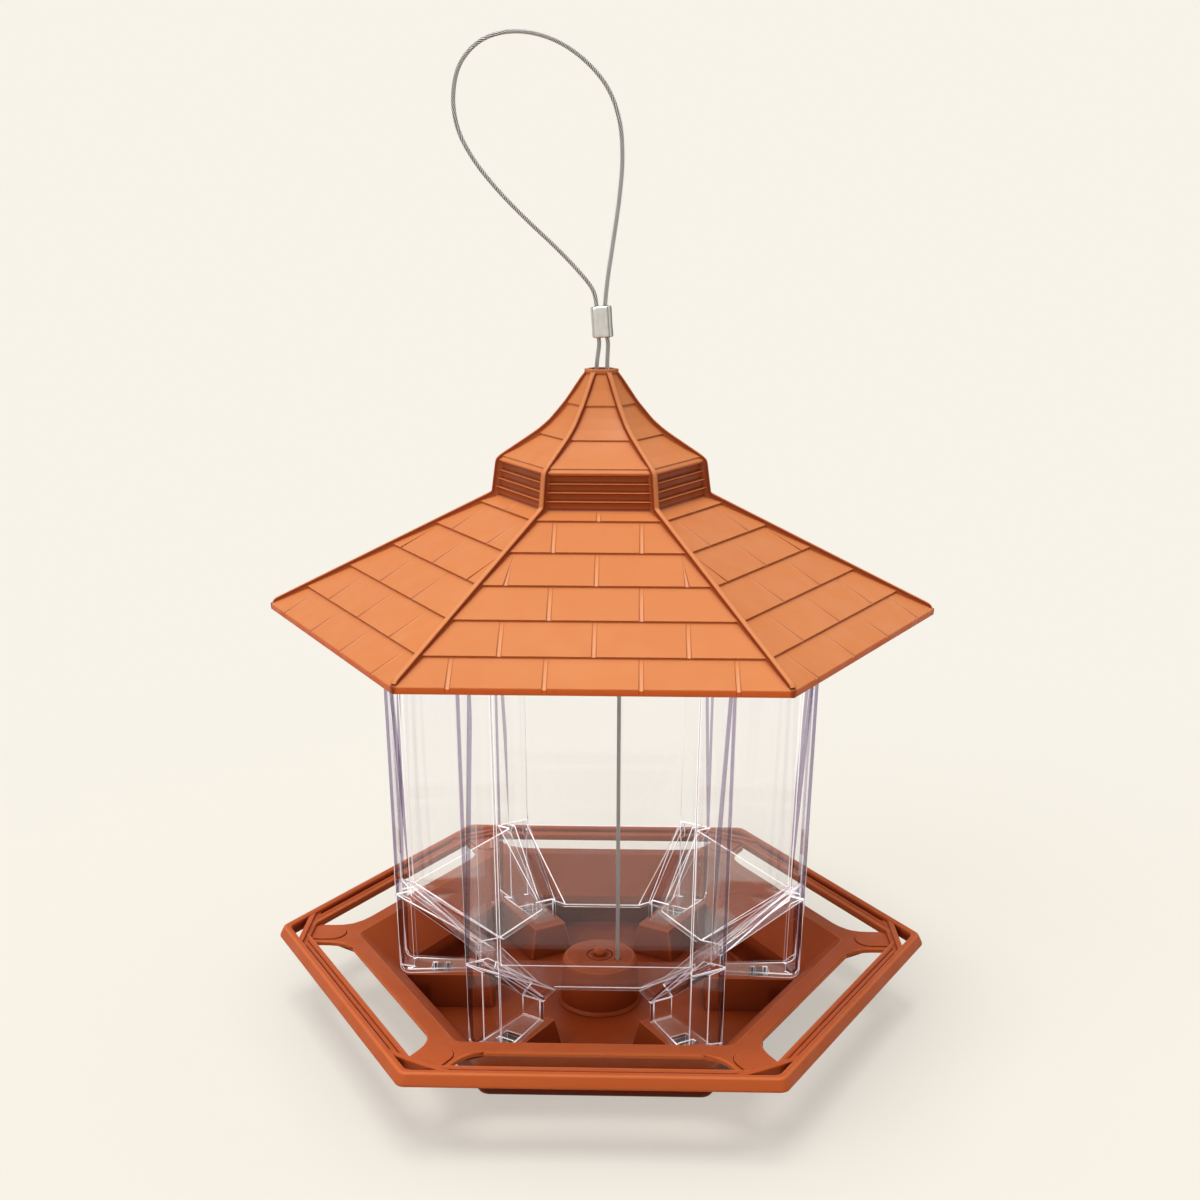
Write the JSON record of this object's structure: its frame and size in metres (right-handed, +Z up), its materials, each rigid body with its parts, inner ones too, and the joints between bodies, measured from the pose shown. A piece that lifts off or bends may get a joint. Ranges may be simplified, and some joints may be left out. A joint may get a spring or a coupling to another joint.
{
  "type": "hanging bird feeder",
  "caption": "Hexagonal hanging bird feeder with a shingled terracotta roof, clear hopper, seed tray, perch ring and steel cable loop.",
  "frame": {"origin": "centre of the tray's flat base", "axes": "+Z up along the feeder's axis; -Y faces the front flat side; hexagon corners lie on +X and -X"},
  "size_m": [0.2648, 0.2304, 0.384],
  "materials": {
    "roof_plastic": "satin",
    "tray_plastic": "satin",
    "ring_plastic": "satin",
    "clear_plastic": "clear",
    "wire_rope": "satin",
    "sleeve_metal": "satin"
  },
  "bodies": {
    "tray": {"seed_tray": "tray_plastic", "cable_run": "wire_rope", "cable_tail": "wire_rope", "cable_loop": "wire_rope", "cable_ferrule": "sleeve_metal", "cable_stop": "sleeve_metal", "tail_stop": "sleeve_metal"},
    "hopper": {"hopper": "clear_plastic"},
    "roof": {"roof": "roof_plastic"},
    "perch_ring": {"perch_ring": "ring_plastic"}
  },
  "joints": [
    {"name": "hopper_lift", "type": "slide", "parent": "tray", "child": "hopper", "axis": [0, 0, 1], "range_m": [0, 0.026]},
    {"name": "roof_lift", "type": "slide", "parent": "hopper", "child": "roof", "axis": [0, 0, 1], "range_m": [0, 0.1], "deforming": ["cable_loop"]},
    {"name": "perch_ring_lift", "type": "slide", "parent": "tray", "child": "perch_ring", "axis": [0, 0, 1], "range_m": [0, 0.02]}
  ]
}
